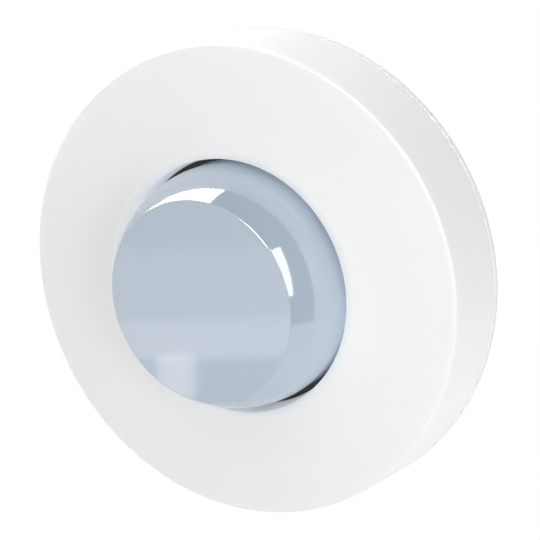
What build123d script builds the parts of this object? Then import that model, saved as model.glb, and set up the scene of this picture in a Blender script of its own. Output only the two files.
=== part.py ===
from build123d import *
import math
import os

# Round presence detector with a flat-fronted dome lens, in millimetres.
# It is drawn with z = 0 on the mounting face and z growing outwards from the wall.
# At export it is turned so that the front faces -Y and the top points to +Z.

# Cover ring
FRONT_RADIUS = 48.8
RIM_FLARE = 2.7
RIM_FILLET = 0.7
COVER_WALL = 2.0
OPENING_RADIUS = 26.6
LIP_WIDTH = 2.3
LIP_DROP = 0.8
LIP_FILLET = 0.6
COLLAR_WALL = 1.6
COLLAR_CLEARANCE = 0.4
SEAM_GAP = 0.4
RIB_HEIGHT = 2.4
RIB_WALL = 1.0
RIB_COUNT = 12

# Split pegs that hold the cover ring
PEG_RADIUS = 2.0
PEG_FIT = 0.05
PEG_BOSS_WALL = 1.2
PEG_TIP_CHAMFER = 0.5
PEG_SLIT = 0.7
PEG_SLIT_DEPTH = 4.0
PEG_ANGLES = (45, 135, 225, 315)
SLEEVE_WALL = 1.5

# Base plate
BASE_EDGE = 0.9
BASE_FLOOR = 2.0
BASE_RIM_WALL = 1.6
BASE_RIM_RISE = 1.6
COVER_FIT = 0.3
BOX_SCREW_SPACING = 60.0
SLOT_WIDTH = 4.2
SLOT_LENGTH = 9.0
CABLE_OPENING_WIDTH = 26.0
CABLE_OPENING_HEIGHT = 13.0
CABLE_OPENING_CORNER = 3.0
HOOK_ANGLES = (0, 90, 180, 270)
HOOK_WIDTH = 8.0
HOOK_WALL = 1.6
HOOK_NOSE = 1.1
HOOK_NOSE_HEIGHT = 1.8
HOOK_FIT = 0.2
FLOOR_RIB_WALL = 1.2
FLOOR_RIB_RISE = 1.2
BACK_RELIEF = 0.6
BACK_LAND = 5.0
BACK_HUB_RADIUS = 7.0
BACK_RIB_WALL = 1.4
BACK_PAD_WALL = 2.4

# Circuit board and its screws
BOARD_STANDOFF = 3.0
BOARD_THICKNESS = 1.6
BOARD_CLEARANCE = 0.6
BOSS_RADIUS = 3.0
SCREW_ANGLES = (20, 160, 200, 340)
SCREW_RADIUS = 1.2
SCREW_HEAD_RADIUS = 2.3
SCREW_HEAD_HEIGHT = 1.7
SCREW_HEAD_CHAMFER = 0.5
SCREW_REACH = 2.4
SCREW_RECESS = 0.8
SCREW_FIT = 0.05

# Inner housing over the board
HOUSING_WALL = 1.5
HOUSING_PLATE = 1.6
HOUSING_GAP = 1.4
HOUSING_CHAMFER = 0.6
COMPONENT_SPACE = 2.8
COVER_AIR = 0.8
COLLAR_AIR = 0.8
CONTROL_FIT = 0.25
CONTROL_PROUD = 0.3

# Lens
LENS_GAP = 1.1
LENS_PROUD = 10.4
LENS_CENTRE_DEPTH = 4.8
LENS_WALL = 1.1
LENS_FRONT_WALL = 1.3
LENS_EDGE_FILLET = 0.3
LENS_FLANGE = 1.2
LENS_SIDES = 16
GROOVE_COUNT = 6
GROOVE_WIDTH = 2.7
GROOVE_DEPTH = 0.4
SEAT_THICKNESS = 1.0
SEAT_RIM_WALL = 1.1
SEAT_RIM_RISE = 1.8
SEAT_FIT = 0.3
SEAL_THICKNESS = 0.4
SEAL_FIT = 0.1

# Heat sensors and their carrier
SENSOR_TILT = 35.0
SENSOR_FLANGE_RADIUS = 4.6
SENSOR_FLANGE = 0.6
SENSOR_CAN_RADIUS = 4.1
SENSOR_HEIGHT = 4.2
SENSOR_CAN_CHAMFER = 0.4
SENSOR_PIN_RADIUS = 0.22
SENSOR_PIN_LENGTH = 2.4
SENSOR_PIN_CIRCLE = 2.5
SENSOR_FIT = 0.2
SENSOR_RECESS = 0.5
PIN_OPENING = 4.8
WINDOW_LENGTH = 4.0
WINDOW_WIDTH = 3.0
WINDOW_THICKNESS = 0.4
WINDOW_FIT = 0.1
CARRIER_WALL = 1.6
CARRIER_SKIRT = 2.0
CARRIER_TOP_HALF = 3.6
CARRIER_CORNER = 0.8

# Light guide, status lamp and light sensor
GUIDE_RADIUS = 1.6
GUIDE_COLLAR_RADIUS = 2.6
GUIDE_COLLAR = 0.8
GUIDE_FIT = 0.1
GUIDE_AIR = 0.3
LAMP_LENGTH = 3.2
LAMP_WIDTH = 2.8
LAMP_HEIGHT = 1.4
LIGHT_SENSOR_SIZE = 4.0
LIGHT_SENSOR_HEIGHT = 1.2
LIGHT_SENSOR_DOME = 1.2
LIGHT_SENSOR_DOME_RISE = 0.6

# Setting dials
DIAL_ANGLES = {"time": 100, "lux": 80}
DIAL_INSET = 0.3
DIAL_SHAFT_RADIUS = 1.5
DIAL_SHAFT_LENGTH = 1.4
SHAFT_FIT = 0.05
DIAL_SLOT_INSET = 0.8
DIAL_SLOT_WIDTH = 1.0
DIAL_SLOT_DEPTH = 1.0
TRIMMER_SIZE = 7.0
TRIMMER_CHAMFER = 1.0
MOVING_GAP = 0.2

# Programming button and its switch
BUTTON_ANGLE = 292
BUTTON_RADIUS = 2.2
BUTTON_FLANGE_RADIUS = 3.1
BUTTON_FLANGE = 0.6
BUTTON_STEM_RADIUS = 1.2
BUTTON_TRAVEL = 0.6
SWITCH_SIZE = 6.2
SWITCH_HEIGHT = 1.2
SWITCH_FLOOR = 0.2

# Mode slide switch
MODE_ANGLE = 270
MODE_BODY_LENGTH = 10.0
MODE_BODY_WIDTH = 5.0
MODE_BODY_HEIGHT = 2.2
MODE_CHANNEL_WIDTH = 2.6
MODE_CHANNEL_DEPTH = 1.2
MODE_SHOE_LENGTH = 3.2
MODE_KNOB_LENGTH = 1.8
MODE_TRAVEL = 2.0

# Bus terminal, one block for each pole
POLE_WIDTH = 5.8
POLE_LENGTH = 6.4
POLE_RISE = 2.6
POLE_DROP = 1.6
POLE_INSET = 0.5
POLE_GAP = 0.1
WIRE_HOLE_RADIUS = 0.6
WIRE_MOUTH_RADIUS = 1.0
WIRE_MOUTH_DEPTH = 0.8
WIRE_HOLE_DEPTH = 4.6
WIRE_PITCH_X = 2.5
WIRE_PITCH_Y = 2.8

# Electronic parts on the board
CHIP_SIZE = 10.0
CHIP_HEIGHT = 1.4
CHIP_Y = 10.0
BUS_CHIP_SIZE = 6.0
BUS_CHIP_X = 15.0
BUS_CHIP_Y = 5.0
CHIP_LEAD_COUNT = 8
BUS_CHIP_LEAD_COUNT = 4
LEAD_WIDTH = 0.4
LEAD_REACH = 1.0
LEAD_THICKNESS = 0.2
CRYSTAL_LENGTH = 11.0
CRYSTAL_WIDTH = 4.6
CRYSTAL_HEIGHT = 2.0
CRYSTAL_X = -15.0
CRYSTAL_Y = 5.0
CAPACITOR_RADIUS = 2.5
CAPACITOR_HEIGHT = 5.8
CAPACITOR_BASE = 0.8
CAPACITOR_CHAMFER = 0.4
CAPACITOR_ANGLES = (-20, 0, 20)
COIL_SIZE = 6.0
COIL_HEIGHT = 3.4
COIL_DISH = 0.6
PART_AIR = 0.5

# How near an edge lies to the place it is picked by
EDGE_MATCH = 0.01

# Heights above the mounting face
RIM_TOP = BASE_FLOOR + BASE_RIM_RISE
BOARD_BACK = BASE_FLOOR + BOARD_STANDOFF
BOARD_TOP = BOARD_BACK + BOARD_THICKNESS
PLATE_BACK = BOARD_TOP + COMPONENT_SPACE
HOUSING_TOP = PLATE_BACK + HOUSING_PLATE
RIB_BACK = HOUSING_TOP + COVER_AIR
COVER_INSIDE = RIB_BACK + RIB_HEIGHT
FRONT = COVER_INSIDE + COVER_WALL
COVER_BACK = BASE_EDGE + SEAM_GAP
SEAT_TOP = BOARD_TOP + SEAT_THICKNESS
FLANGE_TOP = SEAT_TOP + LENS_FLANGE
SEAL_TOP = FLANGE_TOP + SEAL_THICKNESS
COLLAR_BACK = SEAL_TOP + COLLAR_CLEARANCE
LENS_CENTRE = FRONT - LENS_CENTRE_DEPTH
LENS_FRONT = FRONT + LENS_PROUD
LENS_INSIDE = LENS_FRONT - LENS_FRONT_WALL
CARRIER_SHOULDER = BOARD_TOP + CARRIER_SKIRT


def rim_radius(height):
    """Outer radius of the tapered rim at a height above the mounting face."""
    return FRONT_RADIUS + RIM_FLARE * (1 - height / FRONT)


# Radii that follow from the fits
LENS_RADIUS = OPENING_RADIUS - LENS_GAP
LENS_INNER_RADIUS = LENS_RADIUS - LENS_WALL
COLLAR_RADIUS = OPENING_RADIUS + COLLAR_WALL
INNER_WALL_RADIUS = COLLAR_RADIUS + COLLAR_AIR
FLANGE_RADIUS = INNER_WALL_RADIUS + HOUSING_WALL
SEAT_RIM_RADIUS = LENS_INNER_RADIUS * math.cos(math.pi / LENS_SIDES) - SEAT_FIT
SEAT_BORE_RADIUS = SEAT_RIM_RADIUS - SEAT_RIM_WALL
BASE_RIM_RADIUS = rim_radius(RIM_TOP) - COVER_WALL - COVER_FIT
HOUSING_RADIUS = BASE_RIM_RADIUS - BASE_RIM_WALL - HOUSING_GAP
HOUSING_INSIDE_RADIUS = HOUSING_RADIUS - HOUSING_WALL
HOOK_RADIUS = HOUSING_INSIDE_RADIUS - HOOK_FIT
BOARD_RADIUS = HOOK_RADIUS - HOOK_WALL - BOARD_CLEARANCE
STATION_RADIUS = (FLANGE_RADIUS + HOUSING_INSIDE_RADIUS) / 2
DIAL_RADIUS = TRIMMER_SIZE / 2 - DIAL_INSET
DIAL_SLOT_LENGTH = 2 * (DIAL_RADIUS - DIAL_SLOT_INSET)
SLEEVE_RADIUS = PEG_RADIUS + PEG_FIT + SLEEVE_WALL
PEG_BOSS_RADIUS = PEG_RADIUS + PEG_BOSS_WALL
SENSOR_SEAT_RADIUS = SENSOR_FLANGE_RADIUS + SENSOR_FIT
CARRIER_SLANT = 2 * SENSOR_SEAT_RADIUS + SENSOR_FIT
CARRIER_HALF = CARRIER_TOP_HALF + CARRIER_SLANT * math.cos(math.radians(SENSOR_TILT))
CARRIER_TOP = CARRIER_SHOULDER + CARRIER_SLANT * math.sin(math.radians(SENSOR_TILT))
PART_RADIUS = SEAT_BORE_RADIUS - PART_AIR
POLE_Y = POLE_LENGTH / 2 - math.sqrt(PART_RADIUS**2 - POLE_WIDTH**2)


def cylinder(radius, low, high):
    """Round bar about the z axis between two heights."""
    return Pos(0, 0, low) * Cylinder(radius, high - low, align=(Align.CENTER, Align.CENTER, Align.MIN))


def block(length, width, low, high):
    """Rectangular block about the z axis between two heights."""
    return Pos(0, 0, low) * Box(length, width, high - low, align=(Align.CENTER, Align.CENTER, Align.MIN))


def revolved(points):
    """Solid turned about the z axis from (radius, height) corners."""
    outline = Polyline(*[(radius, 0, height) for radius, height in points], close=True)
    return revolve(make_face(outline), Axis.Z)


def station(angle, radius=None):
    """Place at an angle round the ring, with local x pointing outwards."""
    reach = STATION_RADIUS if radius is None else radius
    return Rot(0, 0, angle) * Pos(reach, 0, 0)


def upright_station(angle):
    """Place at an angle round the ring, with local x kept level."""
    turn = math.radians(angle)
    return Pos(STATION_RADIUS * math.cos(turn), STATION_RADIUS * math.sin(turn), 0)


def edges_at(part, radius, height):
    """Circular edges of a given radius at a given height."""
    circles = part.edges().filter_by(GeomType.CIRCLE)
    near = [e for e in circles if abs(e.radius - radius) < EDGE_MATCH]
    return [e for e in near if abs(e.arc_center.Z - height) < EDGE_MATCH]


def cover_shell():
    """Tapered ring with a flat front, a rounded lip and a collar round the lens."""
    front_outer = (FRONT_RADIUS, 0, FRONT)
    lip_outer = (OPENING_RADIUS + LIP_WIDTH, 0, FRONT)
    lip_inner = (OPENING_RADIUS, 0, FRONT - LIP_DROP)
    back_outer = (rim_radius(COVER_BACK), 0, COVER_BACK)
    face_line = Line(front_outer, lip_outer)
    lip_arc = TangentArc(lip_outer, lip_inner, tangent=(-1, 0, 0))
    inside = Polyline(
        lip_inner,
        (OPENING_RADIUS, 0, COLLAR_BACK),
        (COLLAR_RADIUS, 0, COLLAR_BACK),
        (COLLAR_RADIUS, 0, COVER_INSIDE),
        (rim_radius(COVER_INSIDE) - COVER_WALL, 0, COVER_INSIDE),
        (rim_radius(COVER_BACK) - COVER_WALL, 0, COVER_BACK),
        back_outer,
        front_outer,
    )
    shell = revolve(make_face([face_line, lip_arc, inside]), Axis.Z)
    shell = fillet(edges_at(shell, FRONT_RADIUS, FRONT), RIM_FILLET)
    return fillet(edges_at(shell, OPENING_RADIUS, FRONT - LIP_DROP), LIP_FILLET)


def cover_rib():
    """Stiffening rib under the front, from the collar to the outer wall."""
    start = OPENING_RADIUS + COLLAR_WALL / 2
    end = rim_radius(COVER_INSIDE) - COVER_WALL / 2
    rib = block(end - start, RIB_WALL, RIB_BACK, COVER_INSIDE + COVER_WALL / 2)
    return Pos((start + end) / 2, 0, 0) * rib


def cover_peg():
    """Slit peg with a root boss, plugged into a sleeve of the inner housing."""
    tip = BOARD_TOP + MOVING_GAP + PEG_TIP_CHAMFER
    boss = cylinder(PEG_BOSS_RADIUS, HOUSING_TOP + MOVING_GAP, COVER_INSIDE + COVER_WALL / 2)
    pin = cylinder(PEG_RADIUS, tip, COVER_INSIDE)
    pin = chamfer(edges_at(pin, PEG_RADIUS, tip), PEG_TIP_CHAMFER)
    slit = block(PEG_SLIT, 2 * PEG_BOSS_RADIUS, tip, tip + PEG_SLIT_DEPTH)
    return boss + (pin - slit - Rot(0, 0, 90) * slit)


def cover_ring():
    ring = cover_shell()
    for index in range(RIB_COUNT):
        ring += Rot(0, 0, index * 360 / RIB_COUNT) * cover_rib()
    for angle in PEG_ANGLES:
        ring += station(angle) * cover_peg()
    return ring


def snap_hook():
    """Upright hook on the base that holds the inner housing down."""
    inside = HOOK_RADIUS - HOOK_WALL
    nose_back = BOARD_TOP
    nose_top = nose_back + HOOK_NOSE_HEIGHT
    profile = Polyline(
        (inside, 0, BASE_FLOOR / 2),
        (HOOK_RADIUS, 0, BASE_FLOOR / 2),
        (HOOK_RADIUS, 0, nose_back),
        (HOOK_RADIUS + HOOK_NOSE, 0, nose_back),
        (HOOK_RADIUS + HOOK_NOSE, 0, nose_back + HOOK_NOSE / 3),
        (HOOK_RADIUS, 0, nose_top),
        (inside, 0, nose_top),
        close=True,
    )
    return extrude(make_face(profile), HOOK_WIDTH / 2, both=True)


def floor_rib():
    """Low rib on the base floor between the cable opening zone and the rim."""
    start = BOX_SCREW_SPACING / 2 - SLOT_LENGTH
    end = HOUSING_RADIUS - HOUSING_WALL - HOOK_WALL - HOOK_FIT
    rib = block(end - start, FLOOR_RIB_WALL, BASE_FLOOR / 2, BASE_FLOOR + FLOOR_RIB_RISE)
    return Pos((start + end) / 2, 0, 0) * rib


def board_boss():
    """Hollow boss under the circuit board that takes one screw."""
    boss = cylinder(BOSS_RADIUS, BASE_FLOOR / 2, BOARD_BACK)
    return boss, cylinder(SCREW_RADIUS + SCREW_FIT, BOARD_BACK - SCREW_REACH - SCREW_FIT, BOARD_BACK)


def back_relief():
    """Shallow field on the back of the plate, between its rim, hub, ribs, pads and opening."""
    inside = rim_radius(0) - BACK_LAND
    relief = cylinder(inside, 0, BACK_RELIEF) - cylinder(BACK_HUB_RADIUS, 0, BACK_RELIEF)
    for angle in (30, 90, 150):
        relief -= Rot(0, 0, angle) * block(2 * inside, BACK_RIB_WALL, 0, BACK_RELIEF)
    pad = extrude(SlotOverall(SLOT_LENGTH + 2 * BACK_PAD_WALL, SLOT_WIDTH + 2 * BACK_PAD_WALL), BACK_RELIEF)
    for side in (-1, 1):
        relief -= Pos(side * BOX_SCREW_SPACING / 2, 0, 0) * pad
    frame_length = CABLE_OPENING_WIDTH + 2 * BACK_PAD_WALL
    frame_width = CABLE_OPENING_HEIGHT + 2 * BACK_PAD_WALL
    frame = RectangleRounded(frame_length, frame_width, CABLE_OPENING_CORNER + BACK_PAD_WALL)
    return relief - Pos(0, POLE_Y, 0) * extrude(frame, BACK_RELIEF)


def base_plate():
    """Mounting plate with locating rim, screw slots, cable opening, bosses and hooks."""
    plate = revolved(
        [
            (0, 0),
            (rim_radius(0), 0),
            (rim_radius(BASE_EDGE), BASE_EDGE),
            (BASE_RIM_RADIUS, BASE_EDGE),
            (BASE_RIM_RADIUS, RIM_TOP),
            (BASE_RIM_RADIUS - BASE_RIM_WALL, RIM_TOP),
            (BASE_RIM_RADIUS - BASE_RIM_WALL, BASE_FLOOR),
            (0, BASE_FLOOR),
        ]
    )
    plate -= back_relief()
    for angle in (60, 120, 240, 300):
        plate += Rot(0, 0, angle) * floor_rib()
    for angle in HOOK_ANGLES:
        plate += Rot(0, 0, angle) * snap_hook()
    boss, bore = board_boss()
    for angle in SCREW_ANGLES:
        plate += station(angle) * boss
        plate -= station(angle) * bore
    slot = extrude(SlotOverall(SLOT_LENGTH, SLOT_WIDTH), BASE_FLOOR)
    for side in (-1, 1):
        plate -= Pos(side * BOX_SCREW_SPACING / 2, 0, 0) * slot
    opening = RectangleRounded(CABLE_OPENING_WIDTH, CABLE_OPENING_HEIGHT, CABLE_OPENING_CORNER)
    return plate - Pos(0, POLE_Y, 0) * extrude(opening, BASE_FLOOR + FLOOR_RIB_RISE)


def circuit_board():
    """Round board with screw holes and a cut-out for the bus terminal."""
    board = cylinder(BOARD_RADIUS, BOARD_BACK, BOARD_TOP)
    hole = cylinder(SCREW_RADIUS + MOVING_GAP, BOARD_BACK, BOARD_TOP)
    for angle in SCREW_ANGLES:
        board -= station(angle) * hole
    length = 2 * (POLE_WIDTH - POLE_INSET + SCREW_FIT)
    width = POLE_LENGTH - 2 * (POLE_INSET - SCREW_FIT)
    return board - Pos(0, POLE_Y, 0) * block(length, width, BOARD_BACK, BOARD_TOP)


def board_screw():
    """Pan-head screw with a cross recess."""
    head = cylinder(SCREW_HEAD_RADIUS, BOARD_TOP, BOARD_TOP + SCREW_HEAD_HEIGHT)
    head = chamfer(edges_at(head, SCREW_HEAD_RADIUS, BOARD_TOP + SCREW_HEAD_HEIGHT), SCREW_HEAD_CHAMFER)
    shank = cylinder(SCREW_RADIUS, BOARD_BACK - SCREW_REACH, BOARD_TOP)
    recess_back = BOARD_TOP + SCREW_HEAD_HEIGHT - SCREW_RECESS
    arm = block(2 * SCREW_RADIUS, SCREW_RECESS / 2, recess_back, BOARD_TOP + SCREW_HEAD_HEIGHT)
    return head + shank - arm - Rot(0, 0, 90) * arm


def board_screws():
    return Compound([station(angle) * board_screw() for angle in SCREW_ANGLES])


def inner_housing():
    """Ring-shaped cap over the board with sleeves, control holes and hook windows."""
    housing = revolved(
        [
            (HOUSING_RADIUS, BASE_FLOOR),
            (HOUSING_RADIUS, HOUSING_TOP),
            (INNER_WALL_RADIUS, HOUSING_TOP),
            (INNER_WALL_RADIUS, FLANGE_TOP),
            (FLANGE_RADIUS, FLANGE_TOP),
            (FLANGE_RADIUS, PLATE_BACK),
            (HOUSING_INSIDE_RADIUS, PLATE_BACK),
            (HOUSING_INSIDE_RADIUS, BASE_FLOOR),
        ]
    )
    housing = chamfer(edges_at(housing, HOUSING_RADIUS, HOUSING_TOP), HOUSING_CHAMFER)
    sleeve = cylinder(SLEEVE_RADIUS, BOARD_TOP + MOVING_GAP, PLATE_BACK + HOUSING_PLATE / 2)
    bore = cylinder(PEG_RADIUS + PEG_FIT, BOARD_TOP, HOUSING_TOP)
    for angle in PEG_ANGLES:
        housing += station(angle) * sleeve
        housing -= station(angle) * bore
    window_width = HOOK_WIDTH + 2 * HOOK_FIT
    window = block(4 * HOUSING_WALL, window_width, BOARD_TOP - HOOK_FIT, BOARD_TOP + HOOK_NOSE_HEIGHT)
    for angle in HOOK_ANGLES:
        housing -= station(angle, HOUSING_RADIUS) * window
    for angle in DIAL_ANGLES.values():
        housing -= upright_station(angle) * cylinder(DIAL_RADIUS + CONTROL_FIT, PLATE_BACK, HOUSING_TOP)
    housing -= upright_station(BUTTON_ANGLE) * cylinder(BUTTON_RADIUS + CONTROL_FIT, PLATE_BACK, HOUSING_TOP)
    knob_room = MODE_KNOB_LENGTH + MODE_TRAVEL + 2 * CONTROL_FIT
    knob_slot = block(knob_room, MODE_CHANNEL_WIDTH, PLATE_BACK, HOUSING_TOP)
    return housing - upright_station(MODE_ANGLE) * knob_slot


def lens_blank():
    """Outer form of the lens: ball zone with a flat front, a skirt and a flange."""
    flat_radius = math.sqrt(LENS_RADIUS**2 - (LENS_FRONT - LENS_CENTRE) ** 2)
    middle = math.atan2(LENS_FRONT - LENS_CENTRE, flat_radius) / 2
    on_ball = (LENS_RADIUS * math.cos(middle), 0, LENS_CENTRE + LENS_RADIUS * math.sin(middle))
    ball_arc = ThreePointArc((LENS_RADIUS, 0, LENS_CENTRE), on_ball, (flat_radius, 0, LENS_FRONT))
    rest = Polyline(
        (flat_radius, 0, LENS_FRONT),
        (0, 0, LENS_FRONT),
        (0, 0, SEAT_TOP),
        (FLANGE_RADIUS, 0, SEAT_TOP),
        (FLANGE_RADIUS, 0, FLANGE_TOP),
        (LENS_RADIUS, 0, FLANGE_TOP),
        (LENS_RADIUS, 0, LENS_CENTRE),
    )
    blank = revolve(make_face([ball_arc, rest]), Axis.Z)
    return fillet(edges_at(blank, flat_radius, LENS_FRONT), LENS_EDGE_FILLET)


def lens_cavity():
    """Inner side of the lens, made of flat facets in three tiers."""
    waist = (LENS_CENTRE + LENS_INSIDE) / 2
    tiers = [(SEAT_TOP, LENS_INNER_RADIUS), (LENS_CENTRE, LENS_INNER_RADIUS)]
    for height in (waist, LENS_INSIDE):
        tiers.append((height, math.sqrt(LENS_INNER_RADIUS**2 - (height - LENS_CENTRE) ** 2)))
    sections = [Pos(0, 0, height) * RegularPolygon(radius, LENS_SIDES) for height, radius in tiers]
    return loft(sections, ruled=True)


def lens_grooves():
    """Stepped concentric grooves on the inner side of the flat front."""
    corners = [(0, LENS_INSIDE - GROOVE_DEPTH), (GROOVE_COUNT * GROOVE_WIDTH, LENS_INSIDE - GROOVE_DEPTH)]
    for index in range(GROOVE_COUNT, 0, -1):
        corners.append((index * GROOVE_WIDTH, LENS_INSIDE + GROOVE_DEPTH))
        corners.append(((index - 1) * GROOVE_WIDTH, LENS_INSIDE))
    return revolved(corners)


def lens():
    return lens_blank() - lens_cavity() - lens_grooves()


def lens_seat():
    """Dark ring under the lens flange with a light-tight rim inside the lens."""
    return revolved(
        [
            (SEAT_BORE_RADIUS, BOARD_TOP),
            (FLANGE_RADIUS, BOARD_TOP),
            (FLANGE_RADIUS, SEAT_TOP),
            (SEAT_RIM_RADIUS, SEAT_TOP),
            (SEAT_RIM_RADIUS, SEAT_TOP + SEAT_RIM_RISE),
            (SEAT_BORE_RADIUS, SEAT_TOP + SEAT_RIM_RISE),
        ]
    )


def lens_seal():
    """Soft dark ring on the lens flange, behind the cover's collar."""
    seal = cylinder(INNER_WALL_RADIUS - SEAL_FIT, FLANGE_TOP, SEAL_TOP)
    return seal - cylinder(LENS_RADIUS + SEAL_FIT, FLANGE_TOP, SEAL_TOP)


def carrier_form():
    """Square skirt with four sloping sides above it."""
    base = chamfer(Rectangle(2 * CARRIER_HALF, 2 * CARRIER_HALF).vertices(), CARRIER_CORNER)
    top = chamfer(Rectangle(2 * CARRIER_TOP_HALF, 2 * CARRIER_TOP_HALF).vertices(), CARRIER_CORNER)
    skirt = Pos(0, 0, BOARD_TOP) * extrude(base, CARRIER_SKIRT)
    return skirt + loft([Pos(0, 0, CARRIER_SHOULDER) * base, Pos(0, 0, CARRIER_TOP) * top])


def sensor_place(index):
    """Place on the middle of one sloping side, with local z square to it."""
    middle_x = (CARRIER_HALF + CARRIER_TOP_HALF) / 2
    middle_z = (CARRIER_SHOULDER + CARRIER_TOP) / 2
    side = Rot(0, 0, index * 90) * Pos(middle_x, 0, middle_z) * Rot(0, SENSOR_TILT, 0)
    return side * Pos(0, 0, -SENSOR_RECESS)


def sensor_carrier():
    """Thin-walled holder that aims four heat sensors outwards."""
    form = carrier_form()
    drop = CARRIER_WALL / math.cos(math.radians(SENSOR_TILT))
    inner_width = 2 * (CARRIER_HALF - CARRIER_WALL)
    room = block(inner_width, inner_width, BOARD_TOP, CARRIER_TOP)
    carrier = form - (Pos(0, 0, -drop) * form & room)
    carrier -= cylinder(GUIDE_RADIUS + GUIDE_FIT, BOARD_TOP, CARRIER_TOP)
    pin_opening = block(PIN_OPENING, PIN_OPENING, -2 * CARRIER_WALL, SENSOR_RECESS)
    recess = cylinder(SENSOR_SEAT_RADIUS, 0, 2 * SENSOR_RECESS)
    for index in range(4):
        carrier -= sensor_place(index) * (recess + pin_opening)
    return carrier


def heat_sensor():
    """Metal can with a flange, three pins and a recess for its window."""
    can = cylinder(SENSOR_CAN_RADIUS, 0, SENSOR_HEIGHT)
    can = chamfer(edges_at(can, SENSOR_CAN_RADIUS, SENSOR_HEIGHT), SENSOR_CAN_CHAMFER)
    body = can + cylinder(SENSOR_FLANGE_RADIUS, 0, SENSOR_FLANGE)
    body -= block(
        WINDOW_LENGTH + 2 * WINDOW_FIT,
        WINDOW_WIDTH + 2 * WINDOW_FIT,
        SENSOR_HEIGHT - WINDOW_THICKNESS,
        SENSOR_HEIGHT,
    )
    pin = Pos(SENSOR_PIN_CIRCLE, 0, 0) * cylinder(SENSOR_PIN_RADIUS, -SENSOR_PIN_LENGTH, 0)
    for angle in (45, 135, 225):
        body += Rot(0, 0, angle) * pin
    return body


def sensor_windows():
    window = block(WINDOW_LENGTH, WINDOW_WIDTH, SENSOR_HEIGHT - WINDOW_THICKNESS, SENSOR_HEIGHT)
    return Compound([sensor_place(index) * window for index in range(4)])


def light_guide():
    """Clear rod from the status lamp to the front of the lens, seated on the carrier."""
    rod = cylinder(GUIDE_RADIUS, BOARD_TOP + LAMP_HEIGHT + GUIDE_AIR, LENS_INSIDE - GUIDE_AIR)
    return rod + cylinder(GUIDE_COLLAR_RADIUS, CARRIER_TOP, CARRIER_TOP + GUIDE_COLLAR)


def status_lamp():
    """Surface-mounted lamp with a round light well."""
    lamp = block(LAMP_LENGTH, LAMP_WIDTH, BOARD_TOP, BOARD_TOP + LAMP_HEIGHT)
    return lamp - cylinder(LAMP_WIDTH / 3, BOARD_TOP + LAMP_HEIGHT / 2, BOARD_TOP + LAMP_HEIGHT)


def light_sensor():
    """Small square package with a clear round top, beside the carrier."""
    package = block(LIGHT_SENSOR_SIZE, LIGHT_SENSOR_SIZE, BOARD_TOP, BOARD_TOP + LIGHT_SENSOR_HEIGHT)
    top = BOARD_TOP + LIGHT_SENSOR_HEIGHT
    dome = cylinder(LIGHT_SENSOR_DOME, BOARD_TOP, top + LIGHT_SENSOR_DOME_RISE)
    rounding = LIGHT_SENSOR_DOME_RISE / 2
    dome = chamfer(edges_at(dome, LIGHT_SENSOR_DOME, top + LIGHT_SENSOR_DOME_RISE), rounding)
    return Pos(LIGHT_SENSOR_SIZE - PART_RADIUS, 0, 0) * (package + dome)


def trimmer(angle):
    """Square body of a setting dial with a bore for the dial's shaft."""
    top = PLATE_BACK - MOVING_GAP
    outline = chamfer(Rectangle(TRIMMER_SIZE, TRIMMER_SIZE).vertices(), TRIMMER_CHAMFER)
    body = Pos(0, 0, BOARD_TOP) * extrude(outline, top - BOARD_TOP)
    bore = cylinder(DIAL_SHAFT_RADIUS + SHAFT_FIT, top - DIAL_SHAFT_LENGTH - MOVING_GAP, top)
    return upright_station(angle) * (body - bore)


def dial(angle):
    """Round setting dial with a pointed screwdriver slot."""
    back = PLATE_BACK
    top = HOUSING_TOP + CONTROL_PROUD
    disc = cylinder(DIAL_RADIUS, back, top)
    shaft = cylinder(DIAL_SHAFT_RADIUS, back - MOVING_GAP - DIAL_SHAFT_LENGTH, back)
    slot = block(DIAL_SLOT_WIDTH, DIAL_SLOT_LENGTH, top - DIAL_SLOT_DEPTH, top)
    point = Pos(0, DIAL_SLOT_LENGTH / 2, top - DIAL_SLOT_DEPTH) * extrude(
        make_face(
            Polyline(
                (-1.2 * DIAL_SLOT_WIDTH, -1.2 * DIAL_SLOT_WIDTH),
                (1.2 * DIAL_SLOT_WIDTH, -1.2 * DIAL_SLOT_WIDTH),
                (0, DIAL_SLOT_WIDTH / 2),
                close=True,
            )
        ),
        DIAL_SLOT_DEPTH,
    )
    return upright_station(angle) * (disc + shaft - slot - point)


def button_switch():
    """Body of the push switch with a bore for the button's stem."""
    top = BOARD_TOP + SWITCH_HEIGHT
    body = block(SWITCH_SIZE, SWITCH_SIZE, BOARD_TOP, top)
    bore = cylinder(BUTTON_STEM_RADIUS + SHAFT_FIT, BOARD_TOP + SWITCH_FLOOR, top)
    return upright_station(BUTTON_ANGLE) * (body - bore)


def programming_button():
    """Push button kept under the housing's plate by its flange."""
    flange_top = PLATE_BACK - MOVING_GAP
    flange_back = flange_top - BUTTON_FLANGE
    cap = cylinder(BUTTON_RADIUS, flange_back, HOUSING_TOP + CONTROL_PROUD)
    cap = chamfer(edges_at(cap, BUTTON_RADIUS, HOUSING_TOP + CONTROL_PROUD), CONTROL_PROUD)
    flange = cylinder(BUTTON_FLANGE_RADIUS, flange_back, flange_top)
    stem_tip = BOARD_TOP + SWITCH_FLOOR + BUTTON_TRAVEL + SHAFT_FIT
    stem = cylinder(BUTTON_STEM_RADIUS, stem_tip, flange_top)
    return upright_station(BUTTON_ANGLE) * (cap + flange + stem)


def mode_switch():
    """Body of the slide switch with a channel for the slider's shoe."""
    top = BOARD_TOP + MODE_BODY_HEIGHT
    body = block(MODE_BODY_LENGTH, MODE_BODY_WIDTH, BOARD_TOP, top)
    room = MODE_SHOE_LENGTH + MODE_TRAVEL + 2 * CONTROL_FIT
    channel = block(room, MODE_CHANNEL_WIDTH, top - MODE_CHANNEL_DEPTH, top)
    return upright_station(MODE_ANGLE) * (body - channel)


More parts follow.
